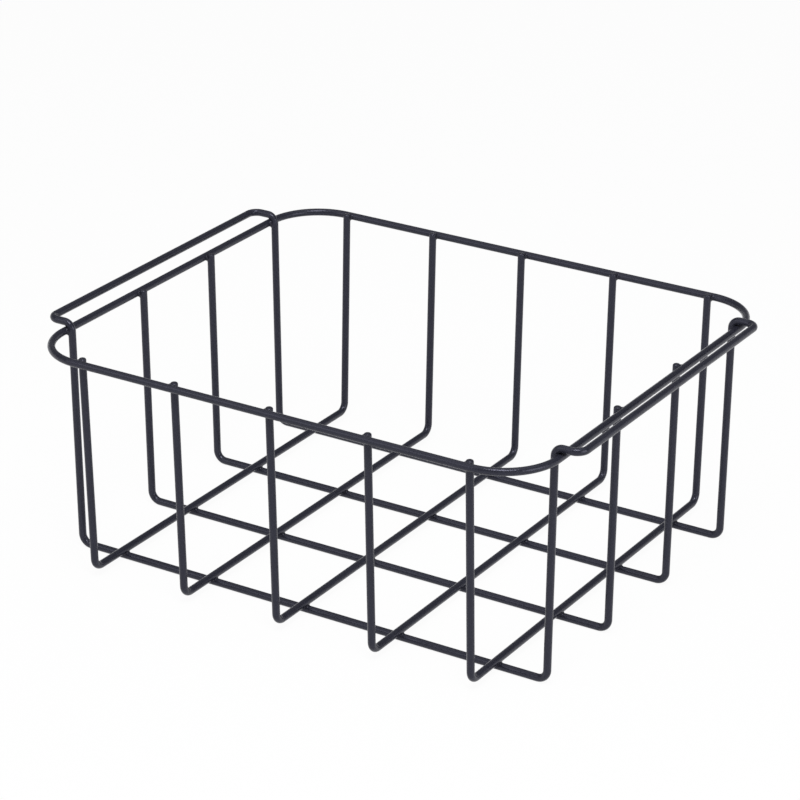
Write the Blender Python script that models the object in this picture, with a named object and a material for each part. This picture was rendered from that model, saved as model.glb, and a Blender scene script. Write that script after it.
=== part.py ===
"""Storage basket for a fridge shelf, bent and welded from nine round wires.

X runs along the basket from handle to handle, Y from front to back and Z up.
The origin is on the shelf, under the middle of the basket.
"""

import math

import bmesh
import bpy
from mathutils import Matrix, Quaternion, Vector

# Steel wire, measured over its coating. Sizes are in metres, and every bend radius is that of
# the wire's centre line.
WIRE_DIAMETER = 0.0044
WIRE_SIDES = 16

# Welded crossings: how far the wires are pressed into each other, and the gap left in the seat.
WELD_SET_DOWN = 0.0007
WELD_GAP = 0.0003

# Collar of a weld: how far it stays inside the wires' sides, the depth of its waist and how deep
# its ends reach into the wires.
COLLAR_INSET = 0.0001
COLLAR_WAIST = 0.0002
COLLAR_ROOT = 0.0002

# Rim: its outside length and width, and how high its top stands over the shelf.
RIM_LENGTH = 0.3244
RIM_WIDTH = 0.2804
RIM_TOP = 0.1369
RIM_CORNER_RADIUS = 0.033

# Floor and uprights. Each wire's two uprights lean in from the rim to the floor.
CROSS_WIRES = 5
LENGTHWISE_RUNS = 4
CROSS_WIRE_LEAN = 0.0038
LENGTHWISE_LEAN = 0.0015
FLOOR_BEND_RADIUS = 0.006
TIP_RISE = 0.0001
TIP_ROUNDING = 0.0007

# How far the outermost wires stand from where the rim's corners begin.
CORNER_TO_CROSS_WIRE = 0.0026
CORNER_TO_HANDLE_WIRE = 0.003

# Handles: the rail's distance outside the rim, and the gap where the wire arches over the rim.
HANDLE_REACH = 0.012
ARCH_CLEARANCE = 0.0005
HANDLE_BEND_RADIUS = 0.006

# Fineness of the arcs.
BEND_STEPS = 6
RIM_CORNER_STEPS = 12
TIP_STEPS = 3
SMOOTH_ANGLE = math.radians(35)

# Finish: black powder coat with a soft sheen.
COATING_COLOUR = (0.028, 0.028, 0.032, 1.0)
COATING_ROUGHNESS = 0.42
COATING_METALLIC = 0.0

# Directions that the wires run in.
LENGTHWISE = Vector((1, 0, 0))
CROSSWISE = Vector((0, 1, 0))
UP = Vector((0, 0, 1))

# Turns a round shape's flats, not its edges, towards its neighbours.
HALF_SIDE_TURN = Matrix.Rotation(math.pi / WIRE_SIDES, 4, "Z")

# Sizes that follow from the ones above.
WIRE_RADIUS = WIRE_DIAMETER / 2
WIRE_SPACING = WIRE_DIAMETER - WELD_SET_DOWN
SEAT_RADIUS = WIRE_RADIUS + WELD_GAP
SEAT_LENGTH = WIRE_DIAMETER + 4 * WELD_GAP
COLLAR_RADIUS = WIRE_RADIUS - COLLAR_INSET
COLLAR_HEIGHT = WIRE_SPACING - 2 * math.sqrt(WIRE_RADIUS**2 - COLLAR_RADIUS**2) + 2 * COLLAR_ROOT
LENGTHWISE_LEVEL = WIRE_RADIUS
CROSS_LEVEL = LENGTHWISE_LEVEL + WIRE_SPACING
RIM_LEVEL = RIM_TOP - WIRE_RADIUS
TIP_LEVEL = RIM_TOP + TIP_RISE
RIM_HALF_LENGTH = RIM_LENGTH / 2 - WIRE_RADIUS
RIM_HALF_WIDTH = RIM_WIDTH / 2 - WIRE_RADIUS
HANDLE_WIRE_SIDE = RIM_HALF_WIDTH - RIM_CORNER_RADIUS - CORNER_TO_HANDLE_WIRE
HANDLE_RISE = WIRE_DIAMETER + ARCH_CLEARANCE


def clear_scene():
    for scene_object in list(bpy.data.objects):
        bpy.data.objects.remove(scene_object, do_unlink=True)


def coating(name):
    """Black powder coat on steel wire."""
    material = bpy.data.materials.new(name)
    material.use_nodes = True
    shader = material.node_tree.nodes["Principled BSDF"]
    shader.inputs["Base Color"].default_value = COATING_COLOUR
    shader.inputs["Roughness"].default_value = COATING_ROUGHNESS
    shader.inputs["Metallic"].default_value = COATING_METALLIC
    material.diffuse_color = COATING_COLOUR
    return material


def bent_path(corners, closed, steps):
    """Centre line of a bent wire.

    Each corner is a point and a bend radius. The ends of an open wire have no bend.
    """
    points = []
    for index, (corner, radius) in enumerate(corners):
        if not closed and index in (0, len(corners) - 1):
            points.append(corner)
            continue
        to_last = (corners[index - 1][0] - corner).normalized()
        to_next = (corners[(index + 1) % len(corners)][0] - corner).normalized()
        opening = to_last.angle(to_next)
        start = corner + to_last * (radius / math.tan(opening / 2))
        centre = corner + (to_last + to_next).normalized() * (radius / math.sin(opening / 2))
        axis = to_next.cross(to_last)
        for step in range(steps + 1):
            turn = Quaternion(axis, (math.pi - opening) * step / steps)
            points.append(centre + turn @ (start - centre))
    return points


def rounded_tip(tip, towards):
    """Points and widths of a wire's sheared end, whose edge is rounded by the coating."""
    inward = (towards - tip).normalized()
    flat = WIRE_RADIUS - TIP_ROUNDING
    stations = []
    for step in range(TIP_STEPS + 1):
        angle = math.pi / 2 * step / TIP_STEPS
        depth = TIP_ROUNDING * (1 - math.cos(angle))
        width = (flat + TIP_ROUNDING * math.sin(angle)) / WIRE_RADIUS
        stations.append((tip + inward * depth, width))
    return stations


def wire_mesh(name, path, closed):
    """Round wire swept along a path, with its flats square to the bends."""
    if closed:
        stations = [(point, 1.0) for point in path]
    else:
        stations = rounded_tip(path[0], path[1])
        stations += [(point, 1.0) for point in path[1:-1]]
        stations += reversed(rounded_tip(path[-1], path[-2]))

    curve = bpy.data.curves.new(name, "CURVE")
    curve.dimensions = "3D"
    curve.bevel_depth = WIRE_RADIUS / math.cos(math.pi / WIRE_SIDES)
    curve.bevel_resolution = WIRE_SIDES // 2 - 2
    curve.use_fill_caps = not closed
    spline = curve.splines.new("POLY")
    spline.points.add(len(stations) - 1)
    spline.use_cyclic_u = closed
    for spline_point, (position, width) in zip(spline.points, stations):
        spline_point.co = (*position, 1.0)
        spline_point.radius = width
        spline_point.tilt = math.pi / WIRE_SIDES

    curve_object = bpy.data.objects.new(name, curve)
    mesh = bpy.data.meshes.new_from_object(curve_object)
    bpy.data.objects.remove(curve_object)
    bpy.data.curves.remove(curve)

    sweep = bmesh.new()
    sweep.from_mesh(mesh)
    bmesh.ops.remove_doubles(sweep, verts=sweep.verts, dist=1e-6)
    sweep.to_mesh(mesh)
    sweep.free()
    mesh.shade_smooth()
    mesh.set_sharp_from_angle(angle=SMOOTH_ANGLE)
    mesh.materials.clear()
    mesh.materials.append(coating(name))
    return mesh


def add_object(name, mesh, parent):
    new_object = bpy.data.objects.new(name, mesh)
    bpy.context.collection.objects.link(new_object)
    new_object.parent = parent
    return new_object


def facing(position, direction):
    """Place something at a position, with its Z axis in a direction."""
    turn = direction.to_track_quat("Z", "Y").to_matrix().to_4x4()
    return Matrix.Translation(position) @ turn


def add_collar(shape, placement):
    """Fillet of a weld, turned about its local Z axis, with a waist at half its height."""
    rings = []
    for radius, height in (
        (COLLAR_RADIUS, -COLLAR_HEIGHT / 2),
        (COLLAR_RADIUS - COLLAR_WAIST, 0),
        (COLLAR_RADIUS, COLLAR_HEIGHT / 2),
    ):
        at_height = placement @ Matrix.Translation((0, 0, height)) @ HALF_SIDE_TURN
        ring = bmesh.ops.create_circle(shape, segments=WIRE_SIDES, radius=radius, matrix=at_height)
        rings.append(ring["verts"])
    for lower, upper in zip(rings, rings[1:]):
        for index in range(WIRE_SIDES):
            after = (index + 1) % WIRE_SIDES
            shape.faces.new((lower[index], lower[after], upper[after], upper[index]))
    shape.faces.new(reversed(rings[0]))
    shape.faces.new(rings[-1])


def add_seat_cutter(shape, placement):
    """Rod with the clearance of a seat, along its local Z axis, as the other wire lies in it."""
    radius = SEAT_RADIUS / math.cos(math.pi / WIRE_SIDES)
    bmesh.ops.create_cone(
        shape,
        cap_ends=True,
        segments=WIRE_SIDES,
        radius1=radius,
        radius2=radius,
        depth=SEAT_LENGTH,
        matrix=placement @ HALF_SIDE_TURN,
    )


def add_boolean(wire, name, operation, shape):
    """Join a shape to a wire, or cut it out, with a guide that isn't part of the basket."""
    mesh = bpy.data.meshes.new(f"{wire.name} {name}")
    shape.to_mesh(mesh)
    shape.free()
    guide = add_object(mesh.name, mesh, wire)
    guide.hide_render = True
    guide.display_type = "WIRE"
    boolean = wire.modifiers.new(name, "BOOLEAN")
    boolean.operation = operation
    boolean.solver = "EXACT"
    boolean.object = guide


def weld(wire, crossings, other_wires_run):
    """Collars and saddles where a wire is pressed onto others that run in one direction.

    Each crossing is a point on this wire's centre line and the direction towards the other wire.
    """
    collars = bmesh.new()
    seats = bmesh.new()
    for point, towards in crossings:
        add_collar(collars, facing(point + towards * WIRE_SPACING / 2, towards))
        add_seat_cutter(seats, facing(point + towards * WIRE_SPACING, other_wires_run))
    add_boolean(wire, "weld collars", "UNION", collars)
    add_boolean(wire, "weld seats", "DIFFERENCE", seats)


def upright_offset(level, floor_level, rim_offset, lean):
    """Distance of a leaning upright from the basket's middle, at a level."""
    return rim_offset - lean * (RIM_LEVEL - level) / (RIM_LEVEL - floor_level)


def u_wire_path(runs, floor_level, rim_offset, lean):
    """Wire bent to an upright U: down one wall, along the floor the way it runs, up the other wall."""
    tip_offset = upright_offset(TIP_LEVEL, floor_level, rim_offset, lean)
    floor_offset = upright_offset(floor_level, floor_level, rim_offset, lean)
    tip_rise = UP * (TIP_LEVEL - floor_level)
    corners = [
        (-runs * tip_offset + tip_rise, 0),
        (-runs * floor_offset, FLOOR_BEND_RADIUS),
        (runs * floor_offset, FLOOR_BEND_RADIUS),
        (runs * tip_offset + tip_rise, 0),
    ]
    return bent_path(corners, closed=False, steps=BEND_STEPS)


def rim_crossings(runs, floor_level, rim_offset):
    """Where a U wire's two uprights are welded to the inner side of the rim."""
    rise = UP * (RIM_LEVEL - floor_level)
    return [(outwards * rim_offset + rise, outwards) for outwards in (-runs, runs)]


def lengthwise_positions():
    """Distances of the lengthwise floor runs from the middle; the outer two are the handle wire's."""
    pitch = 2 * HANDLE_WIRE_SIDE / (LENGTHWISE_RUNS - 1)
    return [index * pitch - HANDLE_WIRE_SIDE for index in range(LENGTHWISE_RUNS)]


def make_rim(basket):
    """Closed rounded rectangle that every upright is welded to, on its inner side."""
    corners = [
        (Vector((side_x * RIM_HALF_LENGTH, side_y * RIM_HALF_WIDTH, 0)), RIM_CORNER_RADIUS)
        for side_x, side_y in ((1, -1), (1, 1), (-1, 1), (-1, -1))
    ]
    path = bent_path(corners, closed=True, steps=RIM_CORNER_STEPS)
    rim = add_object("rim_wire", wire_mesh("rim_wire", path, closed=True), basket)
    rim.location.z = RIM_LEVEL


def make_cross_wires(basket):
    """U wires from front to back, whose floor runs are welded down onto the lengthwise ones."""
    outermost = RIM_HALF_LENGTH - RIM_CORNER_RADIUS - CORNER_TO_CROSS_WIRE
    pitch = 2 * outermost / (CROSS_WIRES - 1)
    rim_offset = RIM_HALF_WIDTH - WIRE_SPACING
    path = u_wire_path(CROSSWISE, CROSS_LEVEL, rim_offset, CROSS_WIRE_LEAN)
    crossings = [(CROSSWISE * position, -UP) for position in lengthwise_positions()]
    crossings += rim_crossings(CROSSWISE, CROSS_LEVEL, rim_offset)
    for index in range(CROSS_WIRES):
        name = f"cross_wire_{index + 1}"
        cross_wire = add_object(name, wire_mesh(name, path, closed=False), basket)
        cross_wire.location = (index * pitch - outermost, 0, CROSS_LEVEL)
        weld(cross_wire, crossings, LENGTHWISE)


def make_lengthwise_wires(basket):
    """U wires from end to end, spaced evenly between the handle wire's two floor runs."""
    rim_offset = RIM_HALF_LENGTH - WIRE_SPACING
    path = u_wire_path(LENGTHWISE, LENGTHWISE_LEVEL, rim_offset, LENGTHWISE_LEAN)
    crossings = rim_crossings(LENGTHWISE, LENGTHWISE_LEVEL, rim_offset)
    for index, position in enumerate(lengthwise_positions()[1:-1]):
        name = f"lengthwise_wire_{index + 1}"
        lengthwise_wire = add_object(name, wire_mesh(name, path, closed=False), basket)
        lengthwise_wire.location = (0, position, LENGTHWISE_LEVEL)
        weld(lengthwise_wire, crossings, CROSSWISE)


def make_handle_wire(basket):
    """Closed wire that makes both outer floor runs, their four uprights and both handles.

    Each upright stands inside the rim, arches out over it and turns into the handle's rail,
    which runs along the basket's end just above and outside the rim.
    """
    rim_offset = RIM_HALF_LENGTH - WIRE_SPACING
    rim_rise = RIM_LEVEL - LENGTHWISE_LEVEL
    rail_rise = rim_rise + HANDLE_RISE
    arch_offset = upright_offset(RIM_LEVEL + HANDLE_RISE, LENGTHWISE_LEVEL, rim_offset, LENGTHWISE_LEAN)
    profile = [
        (rim_offset - LENGTHWISE_LEAN, 0, FLOOR_BEND_RADIUS),
        (arch_offset, rail_rise, HANDLE_RISE),
        (RIM_HALF_LENGTH + HANDLE_REACH, rail_rise, HANDLE_BEND_RADIUS),
    ]
    corners = []
    crossings = []
    for side_x, side_y, quarter in (
        (1, -1, profile),
        (1, 1, profile[::-1]),
        (-1, 1, profile),
        (-1, -1, profile[::-1]),
    ):
        side = side_y * HANDLE_WIRE_SIDE
        for offset, rise, radius in quarter:
            corners.append((Vector((side_x * offset, side, rise)), radius))
        crossings.append((Vector((side_x * rim_offset, side, rim_rise)), LENGTHWISE * side_x))
    path = bent_path(corners, closed=True, steps=BEND_STEPS)
    handle_wire = add_object("handle_wire", wire_mesh("handle_wire", path, closed=True), basket)
    handle_wire.location.z = LENGTHWISE_LEVEL
    weld(handle_wire, crossings, CROSSWISE)


def make_basket():
    clear_scene()
    basket = add_object("basket", None, None)
    make_rim(basket)
    make_cross_wires(basket)
    make_lengthwise_wires(basket)
    make_handle_wire(basket)


make_basket()
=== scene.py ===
"""Looks of the fridge storage basket: its coated wires and welds, floor, light and camera.

X runs along the basket from handle to handle, Y from front to back and Z up, in metres.
"""

import math

import bpy
from mathutils import Matrix, Vector


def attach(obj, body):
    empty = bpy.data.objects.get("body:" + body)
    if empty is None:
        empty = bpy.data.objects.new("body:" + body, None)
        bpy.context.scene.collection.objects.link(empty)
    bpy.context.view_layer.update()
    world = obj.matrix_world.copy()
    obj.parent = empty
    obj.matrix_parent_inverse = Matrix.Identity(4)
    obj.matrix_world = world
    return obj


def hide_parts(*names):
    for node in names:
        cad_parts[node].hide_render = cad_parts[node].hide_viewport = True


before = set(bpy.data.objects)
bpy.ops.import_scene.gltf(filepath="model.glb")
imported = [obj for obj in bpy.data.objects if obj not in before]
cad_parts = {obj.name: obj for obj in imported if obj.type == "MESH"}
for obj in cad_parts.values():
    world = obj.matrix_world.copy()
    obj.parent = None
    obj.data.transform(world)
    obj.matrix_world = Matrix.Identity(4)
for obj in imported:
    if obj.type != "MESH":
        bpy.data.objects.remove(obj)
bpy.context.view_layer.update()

# Camera, at the photograph's angle.
VIEW_AZIMUTH = math.radians(31.9533)
VIEW_ELEVATION = math.radians(23.8703)
VIEW_ROLL = math.radians(0.1353)
VIEW_DISTANCE = 1.81116
VIEW_AIM = 0.0622
VIEW_SHIFT_RIGHT = 0.00134
VIEW_SHIFT_UP = -0.02634
LENS = 141.75
SENSOR = 36

# Wire, a hair thinner than in the solids so that its round sides stay inside their box.
WIRE_RADIUS = 0.002195
WIRE_SPACING = 0.0037
WIRE_SIDES = 48
BEND_STEPS = 14
RIM_CORNER_STEPS = 40

# Sheared end of a wire, whose edge is rounded by the coating.
TIP_ROUNDING = 0.001
TIP_STEPS = 7

# Fillet of a weld, under the coating. No two are alike, and each is fuller to one side.
FLOOR_FILLET = 0.0006
RIM_FILLET = 0.0009
FILLET_VARIATION = 0.15
FILLET_LOPSIDEDNESS = 0.3
FULLER_SIDE_VARIATION = math.radians(40)
FILLET_UNDER_TIP = 0.0007
FILLET_TOP_BLEND = 0.0002
NO_LID = 1.0
FILLET_STEPS_AROUND = 56
FILLET_STEPS_ACROSS = 8
FILLET_SEED = 11
MERGE_DISTANCE = 1e-6
SHARP_ANGLE = math.radians(40)
DRAWING_COLUMNS = (
    "bend_radius",
    "thickness",
    "is_weld",
    "along",
    "towards",
    "fillet_radius",
    "lid",
    "fuller_side",
    "place_in_grid",
)

# Centre lines, the same as in the solids.
LENGTHWISE_LEVEL = 0.0022
CROSS_LEVEL = LENGTHWISE_LEVEL + WIRE_SPACING
RIM_LEVEL = 0.1347
TIP_LEVEL = 0.137
RIM_HALF_LENGTH = 0.160
RIM_HALF_WIDTH = 0.138
RIM_CORNER_RADIUS = 0.033
CROSS_WIRES = 5
LENGTHWISE_RUNS = 4
CROSS_WIRE_PITCH = 0.0622
LENGTHWISE_PITCH = 0.068
HANDLE_WIRE_SIDE = 0.102
CROSS_WIRE_LEAN = 0.0038
LENGTHWISE_LEAN = 0.0015
FLOOR_BEND_RADIUS = 0.006
HANDLE_REACH = 0.012
HANDLE_RISE = 0.0049
HANDLE_BEND_RADIUS = 0.006

# Powder coat: colours in linear light, and the sizes of its texture.
COAT_DARK = (0.0115, 0.012, 0.019, 1)
COAT_LIGHT = (0.026, 0.027, 0.038, 1)
# Painted shade: the colour the coat is darkened towards in the corners of the welds, between wires.
WELD_PAINTED_SHADE_COLOUR = (0.008, 0.008, 0.011, 1)
COAT_GLOSS = 0.34
COAT_GLOSS_TINT = (0.79, 0.79, 1.0, 1)
COAT_ROUGHNESS = 0.24
MOTTLE_SIZE = 0.018
PEEL_SIZE = 0.0011
GRAIN_SIZE = 0.0004
PEEL_DEPTH = 0.00016
PEEL_RELIEF = 0.8
GRAIN_IN_RELIEF = 0.25
MOTTLE_IN_ROUGHNESS = 0.12
GRAIN_IN_ROUGHNESS = 0.25
WELD_IN_ROUGHNESS = 0.08
# How far the painted shade darkens the coat in the middle of a weld.
WELD_PAINTED_SHADE_AMOUNT = 0.8

# Studio.
FLOOR_SIZE = 14
FLOOR_COLOUR = (0.8, 0.8, 0.805, 1)
FLOOR_GLOW = 0.95
AMBIENT = 0.15
BACKDROP_TOP = 0.05
CEILING_EDGE = 0.3

# Side that the welds of each wall and of the floor are fuller on, as a turn from the wire's run.
FULLER_SIDE_AT_RIM = {
    (0, -1, 0): math.radians(55),
    (-1, 0, 0): math.radians(225),
    (0, 1, 0): math.radians(135),
    (1, 0, 0): math.radians(315),
}
FULLER_SIDE_ON_FLOOR = math.radians(45)

LENGTHWISE = Vector((1, 0, 0))
CROSSWISE = Vector((0, 1, 0))
UP = Vector((0, 0, 1))


class Value:
    """Number or vector that a node gives, for use in formulas."""

    def __init__(self, graph, socket):
        self.graph = graph
        self.socket = socket
        self.is_vector = socket.type == "VECTOR"

    def math(self, operation, first, second=0.0):
        return self.graph.node("ShaderNodeMath", {"operation": operation}, {0: first, 1: second})

    def vector_math(self, operation, first, second):
        return self.graph.node("ShaderNodeVectorMath", {"operation": operation}, {0: first, 1: second})

    def __add__(self, other):
        if self.is_vector:
            return self.vector_math("ADD", self, other)
        return self.math("ADD", self, other)

    def __sub__(self, other):
        if self.is_vector:
            return self.vector_math("SUBTRACT", self, other)
        return self.math("SUBTRACT", self, other)

    def __mul__(self, other):
        if self.is_vector:
            return self.graph.node("ShaderNodeVectorMath", {"operation": "SCALE"}, {0: self, "Scale": other})
        return self.math("MULTIPLY", self, other)

    def __truediv__(self, other):
        return self.math("DIVIDE", self, other)

    def __neg__(self):
        return self * -1

    def __radd__(self, other):
        return self + other

    def __rsub__(self, other):
        return self.math("SUBTRACT", other, self)

    def __rmul__(self, other):
        return self * other

    def __rtruediv__(self, other):
        return self.math("DIVIDE", other, self)

    def __lt__(self, other):
        return self.math("LESS_THAN", self, other)

    def __gt__(self, other):
        return self.math("GREATER_THAN", self, other)

    def sqrt(self):
        return self.math("SQRT", self)

    def cos(self):
        return self.math("COSINE", self)

    def sin(self):
        return self.math("SINE", self)

    def at_least(self, lowest):
        return self.math("MAXIMUM", self, lowest)

    def cross(self, other):
        return self.vector_math("CROSS_PRODUCT", self, other)

    def normalized(self):
        return self.graph.node("ShaderNodeVectorMath", {"operation": "NORMALIZE"}, {0: self})

    def part(self, axis):
        return self.graph.node("ShaderNodeSeparateXYZ", None, {"Vector": self}, axis)


class Graph:
    """Node tree that is filled with nodes and formulas."""

    def __init__(self, tree):
        self.tree = tree

    def node(self, kind, settings=None, sockets=None, output=0):
        """Add a node with its settings and with values or links in its sockets; give one output."""
        new_node = self.tree.nodes.new(kind)
        for name, setting in (settings or {}).items():
            setattr(new_node, name, setting)
        for key, value in (sockets or {}).items():
            socket = self.find(new_node.inputs, key)
            for single in value if isinstance(value, list) else [value]:
                if isinstance(single, Value):
                    self.tree.links.new(single.socket, socket)
                else:
                    socket.default_value = single
        if not new_node.outputs:
            return None
        return Value(self, self.find(new_node.outputs, output))

    @staticmethod
    def find(sockets, key):
        """Socket by its place in the list, or else by its identifier."""
        if isinstance(key, int):
            return sockets[key]
        return next(socket for socket in sockets if socket.identifier == key)

    def mix_colours(self, factor, first, second):
        sockets = {"Factor_Float": factor, "A_Color": first, "B_Color": second}
        return self.node("ShaderNodeMix", {"data_type": "RGBA"}, sockets, "Result_Color")

    def attribute(self, name, data_type):
        return self.node("GeometryNodeInputNamedAttribute", {"data_type": data_type}, {"Name": name})

    def store(self, geometry, name, data_type, value):
        settings = {"data_type": data_type, "domain": "POINT"}
        sockets = {"Geometry": geometry, "Name": name, "Value": value}
        return self.node("GeometryNodeStoreNamedAttribute", settings, sockets)


def ball_fillet(across, turn, wire_radius, half_spacing, fillet_radius, along, towards):
    """Point on the fillet that a ball leaves when it rolls round two crossed wires, from their middle.

    This wire runs along `along`, and the other one lies square to it, in the direction `towards`.
    `across` runs from 0 on this wire to 1 on the other one, and `turn` is the ball's way round.
    """
    side = towards.cross(along)
    reach = wire_radius + fillet_radius
    spread = reach * reach - half_spacing * half_spacing
    twist = (turn * 2).cos()
    square = 4 * spread / (1 + (1 + twist * twist * spread / (half_spacing * half_spacing)).sqrt())
    along_offset = square.sqrt() * turn.cos()
    side_offset = square.sqrt() * turn.sin()
    rise = square * twist / (4 * half_spacing)

    ball = along * along_offset + side * side_offset + towards * rise
    to_this = side * -side_offset + towards * (-half_spacing - rise)
    to_other = along * -along_offset + towards * (half_spacing - rise)
    facing = (to_this * (1 - across) + to_other * across).normalized()
    return ball + facing * fillet_radius


def tree_inputs(tree, inputs):
    """Named inputs of a tree. Gives each one's identifier."""
    identifiers = {}
    for name, (kind, value) in inputs.items():
        socket = tree.interface.new_socket(name, in_out="INPUT", socket_type=kind)
        if value is not None:
            socket.default_value = value
        identifiers[name] = socket.identifier
    return identifiers


def swept_wire(graph, given, line):
    """Round wire along the drawn line, bent at its corners."""
    curve = graph.node("GeometryNodeMeshToCurve", None, {"Mesh": line})
    bends = {
        "Curve": curve,
        "Count": given["Bend Steps"],
        "Radius": graph.attribute("bend_radius", "FLOAT"),
    }
    curve = graph.node("GeometryNodeFilletCurve", {"mode": "POLY"}, bends)
    circle = {"Resolution": given["Wire Sides"], "Radius": given["Wire Radius"]}
    section = graph.node("GeometryNodeCurvePrimitiveCircle", {"mode": "RADIUS"}, circle)
    sweep = {
        "Curve": curve,
        "Profile Curve": section,
        "Scale": graph.attribute("thickness", "FLOAT"),
        "Fill Caps": True,
    }
    return graph.node("GeometryNodeCurveToMesh", None, sweep)


def varied_welds(graph, given, welds):
    """Welds whose fillet radius and fuller side vary from one to the next."""

    def random_number(lowest, highest, seed):
        sockets = {"Min_001": lowest, "Max_001": highest, "Seed": seed}
        return graph.node("FunctionNodeRandomValue", {"data_type": "FLOAT"}, sockets, "Value_001")

    variation = given["Fillet Variation"]
    turned = given["Fuller Side Variation"]
    radius = graph.attribute("fillet_radius", "FLOAT")
    radius = radius * random_number(1 - variation, 1 + variation, given["Seed"])
    fuller_side = graph.attribute("fuller_side", "FLOAT")
    fuller_side = fuller_side + random_number(-turned, turned, given["Seed"] + 1)
    welds = graph.store(welds, "fillet_radius", "FLOAT", radius)
    return graph.store(welds, "fuller_side", "FLOAT", fuller_side)


def gathered_grids(graph, given, welds):
    """One grid of vertices for each weld, all at the weld's point, that know their places in the grid."""
    sockets = {
        "Size X": 1.0,
        "Size Y": 1.0,
        "Vertices X": given["Fillet Steps Around"] + 1,
        "Vertices Y": given["Fillet Steps Across"] + 3,
    }
    grid = graph.node("GeometryNodeMeshGrid", None, sockets)
    place_in_grid = Value(graph, graph.find(grid.socket.node.outputs, "UV Map"))
    grid = graph.store(grid, "place_in_grid", "FLOAT_VECTOR", place_in_grid)
    gathered = {"Points": welds, "Instance": grid, "Scale": (0.0, 0.0, 0.0)}
    grids = graph.node("GeometryNodeInstanceOnPoints", None, gathered)
    return graph.node("GeometryNodeRealizeInstances", None, {"Geometry": grids})


def weld_fillets(graph, given, welds):
    """Closed fillets in the corners between this wire and the ones that it is welded to."""
    grids = gathered_grids(graph, given, varied_welds(graph, given, welds))
    place_in_grid = graph.attribute("place_in_grid", "FLOAT_VECTOR")
    steps_across = given["Fillet Steps Across"]
    turn = place_in_grid.part("X") * math.tau
    across = (place_in_grid.part("Y") * (steps_across + 2) - 1) / steps_across
    fuller = (turn - graph.attribute("fuller_side", "FLOAT")).cos() * given["Fillet Lopsidedness"] + 1
    half_spacing = given["Wire Spacing"] / 2
    towards = graph.attribute("towards", "FLOAT_VECTOR")
    surface = ball_fillet(
        across,
        turn,
        given["Wire Radius"],
        half_spacing,
        graph.attribute("fillet_radius", "FLOAT") * fuller,
        graph.attribute("along", "FLOAT_VECTOR"),
        towards,
    )

    # A fillet beside a wire's tip levels off below the tip's rounded edge.
    weld_level = graph.node("GeometryNodeInputPosition").part("Z")
    room = graph.attribute("lid", "FLOAT") - weld_level
    levelled = {0: surface.part("Z"), 1: room, 2: given["Fillet Top Blend"]}
    height = graph.node("ShaderNodeMath", {"operation": "SMOOTH_MIN"}, levelled)
    lidded = {"X": surface.part("X"), "Y": surface.part("Y"), "Z": height}
    surface = graph.node("ShaderNodeCombineXYZ", None, lidded)

    # The first and last rows go to the wires' centre lines, which closes the fillet inside them.
    half_row = 0.5 / steps_across
    for outside, centre_line in (
        (across < -half_row, towards * -half_spacing),
        (across > 1 + half_row, towards * half_spacing),
    ):
        sockets = {"Switch": outside, "False": surface, "True": centre_line}
        surface = graph.node("GeometryNodeSwitch", {"input_type": "VECTOR"}, sockets)
    fillets = graph.node("GeometryNodeSetPosition", None, {"Geometry": grids, "Offset": surface})
    depth = (across * (1 - across) * 4).at_least(0)
    return graph.store(fillets, "weld_depth", "FLOAT", depth)


def coated_wire_tree():
    """Geometry nodes that sweep a round wire along a drawn centre line and fillet its welds."""
    tree = bpy.data.node_groups.new("coated wire", "GeometryNodeTree")
    identifiers = tree_inputs(
        tree,
        {
            "Drawing": ("NodeSocketGeometry", None),
            "Wire Radius": ("NodeSocketFloat", WIRE_RADIUS),
            "Wire Spacing": ("NodeSocketFloat", WIRE_SPACING),
            "Wire Sides": ("NodeSocketInt", WIRE_SIDES),
            "Bend Steps": ("NodeSocketInt", BEND_STEPS),
            "Fillet Steps Around": ("NodeSocketInt", FILLET_STEPS_AROUND),
            "Fillet Steps Across": ("NodeSocketInt", FILLET_STEPS_ACROSS),
            "Fillet Variation": ("NodeSocketFloat", FILLET_VARIATION),
            "Fillet Lopsidedness": ("NodeSocketFloat", FILLET_LOPSIDEDNESS),
            "Fuller Side Variation": ("NodeSocketFloat", FULLER_SIDE_VARIATION),
            "Fillet Top Blend": ("NodeSocketFloat", FILLET_TOP_BLEND),
            "Seed": ("NodeSocketInt", FILLET_SEED),
            "Coating": ("NodeSocketMaterial", None),
        },
    )
    tree.interface.new_socket("Wire", in_out="OUTPUT", socket_type="NodeSocketGeometry")
    graph = Graph(tree)
    group_input = tree.nodes.new("NodeGroupInput")
    given = {name: Value(graph, graph.find(group_input.outputs, key)) for name, key in identifiers.items()}

    separate = {"Geometry": given["Drawing"], "Selection": graph.attribute("is_weld", "BOOLEAN")}
    welds = graph.node("GeometryNodeSeparateGeometry", {"domain": "POINT"}, separate, "Selection")
    line = graph.node("GeometryNodeSeparateGeometry", {"domain": "POINT"}, separate, "Inverted")
    parts = [swept_wire(graph, given, line), weld_fillets(graph, given, welds)]
    piece = graph.node("GeometryNodeJoinGeometry", None, {"Geometry": parts})

    merge = {"Geometry": piece, "Distance": MERGE_DISTANCE}
    piece = graph.node("GeometryNodeMergeByDistance", None, merge)
    piece = graph.node("GeometryNodeSetShadeSmooth", {"domain": "FACE"}, {"Geometry": piece})
    edge_angle = graph.node("GeometryNodeInputMeshEdgeAngle")
    sharp = {"Geometry": piece, "Selection": edge_angle > SHARP_ANGLE, "Shade Smooth": False}
    piece = graph.node("GeometryNodeSetShadeSmooth", {"domain": "EDGE"}, sharp)
    piece = graph.node("GeometryNodeRealizeInstances", None, {"Geometry": piece})
    coated = {"Geometry": piece, "Material": given["Coating"]}
    piece = graph.node("GeometryNodeSetMaterial", None, coated)
    graph.node("NodeGroupOutput", None, {0: piece})
    return tree, identifiers


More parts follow.
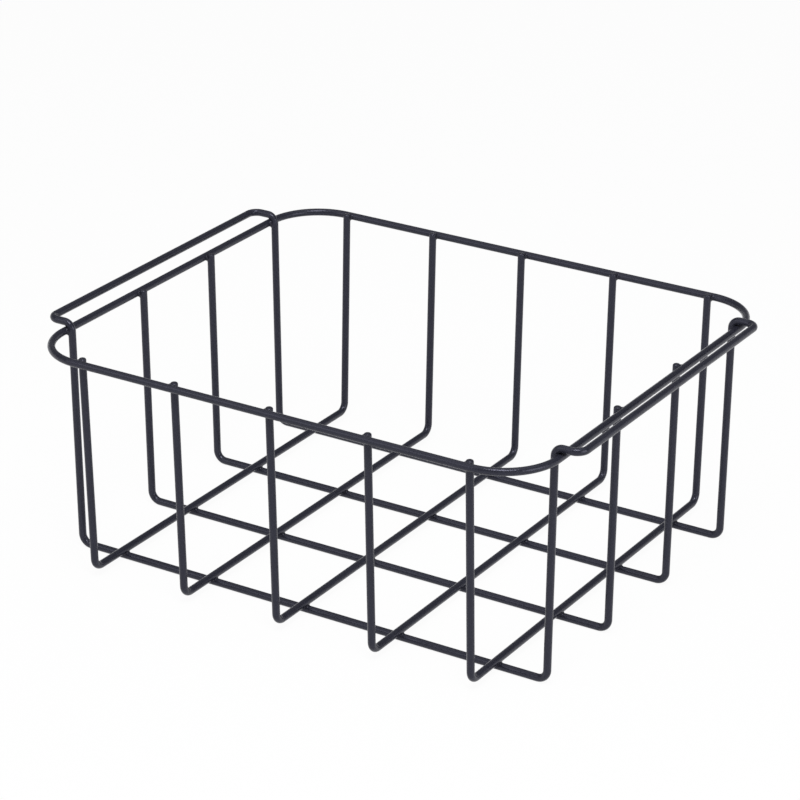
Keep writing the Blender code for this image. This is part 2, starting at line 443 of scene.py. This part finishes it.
def drawing(name, corners, closed, welds):
    """Mesh with a wire's centre line as edges, and a loose point in the middle of each of its welds.

    A corner is a point, a bend radius and the wire's thickness there. A weld is a point, the
    direction that this wire runs in, the direction towards the other wire, the radius of its
    fillet, the level that the fillet stays below, and the turn from `along` to its fuller side.
    """
    edges = [(index, index + 1) for index in range(len(corners) - 1)]
    if closed:
        edges.append((len(corners) - 1, 0))
    mesh = bpy.data.meshes.new(name)
    mesh.from_pydata([corner[0] for corner in corners] + [weld[0] for weld in welds], edges, [])
    no_direction = Vector((0, 0, 0))
    corner_blanks = [(None, no_direction, no_direction, 0.0, 0.0, 0.0)] * len(corners)
    weld_blanks = [(None, 0.0, 1.0)] * len(welds)
    for column, data_type, field, values in (
        ("bend_radius", "FLOAT", "value", [item[1] for item in corners + weld_blanks]),
        ("thickness", "FLOAT", "value", [item[2] for item in corners + weld_blanks]),
        ("is_weld", "BOOLEAN", "value", [False] * len(corners) + [True] * len(welds)),
        ("along", "FLOAT_VECTOR", "vector", [item[1] for item in corner_blanks + welds]),
        ("towards", "FLOAT_VECTOR", "vector", [item[2] for item in corner_blanks + welds]),
        ("fillet_radius", "FLOAT", "value", [item[3] for item in corner_blanks + welds]),
        ("lid", "FLOAT", "value", [item[4] for item in corner_blanks + welds]),
        ("fuller_side", "FLOAT", "value", [item[5] for item in corner_blanks + welds]),
    ):
        attribute = mesh.attributes.new(column, data_type, "POINT")
        for item, value in zip(attribute.data, values):
            setattr(item, field, value)
    return mesh


def coated_wire(node, drawn, bend_steps, seed):
    """Sweep a drawn wire and let it stand for its solid."""
    piece = bpy.data.objects.new(f"coated_{node}", drawn)
    bpy.context.collection.objects.link(piece)
    modifier = piece.modifiers.new("coated wire", "NODES")
    modifier.node_group = wire_tree
    modifier[wire_inputs["Bend Steps"]] = bend_steps
    modifier[wire_inputs["Seed"]] = seed
    modifier[wire_inputs["Coating"]] = coating
    evaluated = piece.evaluated_get(bpy.context.evaluated_depsgraph_get())
    swept = bpy.data.meshes.new_from_object(evaluated)
    swept.name = piece.name
    piece.modifiers.clear()
    piece.data = swept
    bpy.data.meshes.remove(drawn)
    for name in DRAWING_COLUMNS:
        if name in swept.attributes:
            swept.attributes.remove(swept.attributes[name])
    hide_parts(node)
    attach(piece, "root")


def rounded_tip(tip, foot):
    """Corners at a wire's sheared end, from its flat face to its full thickness."""
    inward = (foot - tip).normalized()
    rounding = TIP_ROUNDING / WIRE_RADIUS
    corners = []
    for step in range(TIP_STEPS + 1):
        angle = math.pi / 2 * step / TIP_STEPS
        depth = TIP_ROUNDING * (1 - math.cos(angle))
        corners.append((tip + inward * depth, 0.0, 1 - rounding + rounding * math.sin(angle)))
    return corners


def upright_offset(level, floor_level, rim_offset, lean):
    """Distance of a leaning upright from the basket's middle, at a level."""
    return rim_offset - WIRE_SPACING - lean * (RIM_LEVEL - level) / (RIM_LEVEL - floor_level)


def rim_weld(outwards, place, floor_level, rim_offset, lean, lid):
    """Weld of a leaning upright to the inner side of the rim."""
    rise = RIM_LEVEL - floor_level
    upright = (outwards * lean + UP * rise).normalized()
    towards = (outwards * rise - UP * lean).normalized()
    rim_point = place + outwards * rim_offset + UP * RIM_LEVEL
    fuller_side = FULLER_SIDE_AT_RIM[tuple(round(part) for part in outwards)]
    return rim_point - towards * WIRE_SPACING / 2, upright, towards, RIM_FILLET, lid, fuller_side


def u_wire(runs, place, floor_level, rim_offset, lean):
    """Corners and rim welds of a wire bent to an upright U."""
    foot_offset = upright_offset(floor_level, floor_level, rim_offset, lean)
    tip_offset = upright_offset(TIP_LEVEL, floor_level, rim_offset, lean)
    sides = []
    welds = []
    for outwards in (-runs, runs):
        foot = place + outwards * foot_offset + UP * floor_level
        tip = place + outwards * tip_offset + UP * TIP_LEVEL
        sides.append(rounded_tip(tip, foot) + [(foot, FLOOR_BEND_RADIUS, 1.0)])
        lid = TIP_LEVEL - FILLET_UNDER_TIP
        welds.append(rim_weld(outwards, place, floor_level, rim_offset, lean, lid))
    return sides[0] + sides[1][::-1], welds


def make_rim():
    corners = [
        (Vector((side_x * RIM_HALF_LENGTH, side_y * RIM_HALF_WIDTH, RIM_LEVEL)), RIM_CORNER_RADIUS, 1.0)
        for side_x, side_y in ((1, -1), (1, 1), (-1, 1), (-1, -1))
    ]
    drawn = drawing("rim_wire", corners, True, [])
    coated_wire("rim_wire", drawn, RIM_CORNER_STEPS, FILLET_SEED)


def make_cross_wires():
    """U wires from front to back, which lie on the lengthwise runs and are welded to all four."""
    for index in range(CROSS_WIRES):
        place = LENGTHWISE * CROSS_WIRE_PITCH * (index - (CROSS_WIRES - 1) / 2)
        corners, welds = u_wire(CROSSWISE, place, CROSS_LEVEL, RIM_HALF_WIDTH, CROSS_WIRE_LEAN)
        middle_level = UP * (CROSS_LEVEL - WIRE_SPACING / 2)
        for run in range(LENGTHWISE_RUNS):
            offset = CROSSWISE * (run * LENGTHWISE_PITCH - HANDLE_WIRE_SIDE)
            point = place + offset + middle_level
            welds.append((point, CROSSWISE, -UP, FLOOR_FILLET, NO_LID, FULLER_SIDE_ON_FLOOR))
        node = f"cross_wire_{index + 1}"
        drawn = drawing(node, corners, False, welds)
        coated_wire(node, drawn, BEND_STEPS, FILLET_SEED + index)


def make_lengthwise_wires():
    """U wires from end to end."""
    for index in range(LENGTHWISE_RUNS - 2):
        place = CROSSWISE * ((index + 1) * LENGTHWISE_PITCH - HANDLE_WIRE_SIDE)
        corners, welds = u_wire(LENGTHWISE, place, LENGTHWISE_LEVEL, RIM_HALF_LENGTH, LENGTHWISE_LEAN)
        node = f"lengthwise_wire_{index + 1}"
        drawn = drawing(node, corners, False, welds)
        coated_wire(node, drawn, BEND_STEPS, FILLET_SEED + CROSS_WIRES + index)


def make_handle_wire():
    """Closed wire with the outer two floor runs, four uprights, and the arches and rails of both handles."""
    shape = (LENGTHWISE_LEVEL, RIM_HALF_LENGTH, LENGTHWISE_LEAN)
    rail_level = RIM_LEVEL + HANDLE_RISE
    profile = [
        (upright_offset(LENGTHWISE_LEVEL, *shape), LENGTHWISE_LEVEL, FLOOR_BEND_RADIUS),
        (upright_offset(rail_level, *shape), rail_level, HANDLE_RISE),
        (RIM_HALF_LENGTH + HANDLE_REACH, rail_level, HANDLE_BEND_RADIUS),
    ]
    corners = []
    welds = []
    for side_x, side_y, quarter in (
        (1, -1, profile),
        (1, 1, profile[::-1]),
        (-1, 1, profile),
        (-1, -1, profile[::-1]),
    ):
        place = CROSSWISE * side_y * HANDLE_WIRE_SIDE
        outwards = LENGTHWISE * side_x
        for offset, level, radius in quarter:
            corners.append((place + outwards * offset + UP * level, radius, 1.0))
        welds.append(rim_weld(outwards, place, *shape, NO_LID))
    drawn = drawing("handle_wire", corners, True, welds)
    coated_wire("handle_wire", drawn, BEND_STEPS, FILLET_SEED - 1)


def powder_coat():
    """Black powder coat: a soft sheen over a fine orange peel, rougher in the welds, where painted shade also
    darkens its colour.
    """
    material = bpy.data.materials.new("black powder coat")
    material.use_nodes = True
    graph = Graph(material.node_tree)
    shader = material.node_tree.nodes["Principled BSDF"]
    place = graph.node("ShaderNodeTexCoord", None, None, "Object")

    def noise(size, detail):
        sockets = {"Vector": place, "Scale": 1 / size, "Detail": detail}
        return graph.node("ShaderNodeTexNoise", None, sockets, "Fac")

    mottle = noise(MOTTLE_SIZE, 2.0)
    peel = noise(PEEL_SIZE, 1.0)
    grain = noise(GRAIN_SIZE, 2.0)
    weld = graph.node("ShaderNodeAttribute", {"attribute_name": "weld_depth"}, None, "Fac")

    tone = graph.mix_colours((mottle + peel + grain) / 3, COAT_DARK, COAT_LIGHT)
    # Painted shade: the coat's colour darkens towards the middle of each weld's corner.
    colour = graph.mix_colours(weld * WELD_PAINTED_SHADE_AMOUNT, tone, WELD_PAINTED_SHADE_COLOUR)
    roughness = (
        COAT_ROUGHNESS
        + (mottle - 0.5) * MOTTLE_IN_ROUGHNESS
        + (grain - 0.5) * GRAIN_IN_ROUGHNESS
        + weld * WELD_IN_ROUGHNESS
    )
    relief = peel * (1 - GRAIN_IN_RELIEF) + grain * GRAIN_IN_RELIEF
    bump_sockets = {"Strength": PEEL_RELIEF, "Distance": PEEL_DEPTH, "Height": relief}
    bump = graph.node("ShaderNodeBump", None, bump_sockets, "Normal")
    for key, value in (("Base Color", colour), ("Roughness", roughness), ("Normal", bump)):
        graph.tree.links.new(value.socket, shader.inputs[key])
    shader.inputs["Specular IOR Level"].default_value = COAT_GLOSS
    shader.inputs["Specular Tint"].default_value = COAT_GLOSS_TINT
    return material


def seen_and_mirrored(graph):
    """Whether the camera sees a surface straight, and whether it shows in gloss or through glass."""
    seen = graph.node("ShaderNodeLightPath", None, None, "Is Camera Ray")
    rays = seen.socket.node.outputs
    glossy, transmission = (Value(graph, graph.find(rays, f"Is {kind} Ray")) for kind in ("Glossy", "Transmission"))
    return seen, glossy + transmission


def make_floor():
    """Pale floor that shows nearly white to the camera and keeps the basket's shadow."""
    material = bpy.data.materials.new("studio floor")
    material.use_nodes = True
    graph = Graph(material.node_tree)
    graph.tree.nodes.clear()
    seen, mirrored = seen_and_mirrored(graph)
    matt = graph.node("ShaderNodeBsdfDiffuse", None, {"Color": FLOOR_COLOUR})
    glow = graph.node("ShaderNodeEmission", None, {"Color": (1, 1, 1, 1), "Strength": 1.0})
    mixed = graph.node("ShaderNodeMixShader", None, {0: (seen + mirrored) * FLOOR_GLOW, 1: matt, 2: glow})
    graph.node("ShaderNodeOutputMaterial", None, {"Surface": mixed})

    half = FLOOR_SIZE / 2
    mesh = bpy.data.meshes.new("studio_floor")
    mesh.from_pydata([(-half, -half, 0), (half, -half, 0), (half, half, 0), (-half, half, 0)], [], [(0, 1, 2, 3)])
    mesh.materials.append(material)
    floor = bpy.data.objects.new("studio_floor", mesh)
    bpy.context.collection.objects.link(floor)


def make_world():
    """Even light, with a white backdrop all round the horizon and a dimmer ceiling in reflections."""
    world = bpy.data.worlds.new("studio")
    world.use_nodes = True
    graph = Graph(world.node_tree)
    graph.tree.nodes.clear()
    direction = graph.node("ShaderNodeTexCoord", None, None, "Generated")
    height = graph.node("ShaderNodeSeparateXYZ", None, {"Vector": direction}, "Z")
    backdrop = graph.node(
        "ShaderNodeMapRange",
        {"interpolation_type": "SMOOTHSTEP"},
        {"Value": height, "From Min": BACKDROP_TOP, "From Max": CEILING_EDGE, "To Min": 1.0, "To Max": 0.0},
    )
    seen, mirrored = seen_and_mirrored(graph)
    strength = AMBIENT + (seen + mirrored * backdrop) * (1 - AMBIENT)
    background = graph.node("ShaderNodeBackground", None, {"Color": (1, 1, 1, 1), "Strength": strength})
    graph.node("ShaderNodeOutputWorld", None, {"Surface": background})
    bpy.context.scene.world = world


def softbox(name, position, size, power):
    """Square area light that faces the basket's middle."""
    light = bpy.data.lights.new(name, "AREA")
    light.shape = "SQUARE"
    light.size = size
    light.energy = power
    lamp = bpy.data.objects.new(name, light)
    lamp.location = position
    facing = Vector((0, 0, VIEW_AIM)) - lamp.location
    lamp.rotation_euler = facing.to_track_quat("-Z", "Y").to_euler()
    bpy.context.collection.objects.link(lamp)


def make_camera():
    right = Vector((math.cos(VIEW_AZIMUTH), math.sin(VIEW_AZIMUTH), 0))
    back = (
        Vector((math.sin(VIEW_AZIMUTH), -math.cos(VIEW_AZIMUTH), 0)) * math.cos(VIEW_ELEVATION)
        + UP * math.sin(VIEW_ELEVATION)
    )
    up = back.cross(right)
    rolled_right = right * math.cos(VIEW_ROLL) + up * math.sin(VIEW_ROLL)
    rolled_up = up * math.cos(VIEW_ROLL) - right * math.sin(VIEW_ROLL)
    camera = bpy.data.objects.new("camera", bpy.data.cameras.new("camera"))
    camera.data.sensor_width = SENSOR
    camera.data.lens = LENS
    camera.location = (
        UP * VIEW_AIM
        + back * VIEW_DISTANCE
        - rolled_right * VIEW_SHIFT_RIGHT
        - rolled_up * VIEW_SHIFT_UP
    )
    camera.rotation_euler = Matrix((rolled_right, rolled_up, back)).transposed().to_euler()
    bpy.context.collection.objects.link(camera)
    bpy.context.scene.camera = camera


make_camera()
coating = powder_coat()
wire_tree, wire_inputs = coated_wire_tree()
make_rim()
make_cross_wires()
make_lengthwise_wires()
make_handle_wire()
make_floor()
make_world()
softbox("overhead softbox", (-0.2, 0.1, 2.2), 2.6, 14.4)
softbox("top front softbox", (0.45, -0.75, 1.9), 0.8, 27)
softbox("left softbox", (-0.75, -1.07, 0.92), 0.9, 4.4)
softbox("right softbox", (1.3, -0.2, 0.5), 0.8, 6.4)
bpy.context.scene.view_settings.view_transform = "Standard"
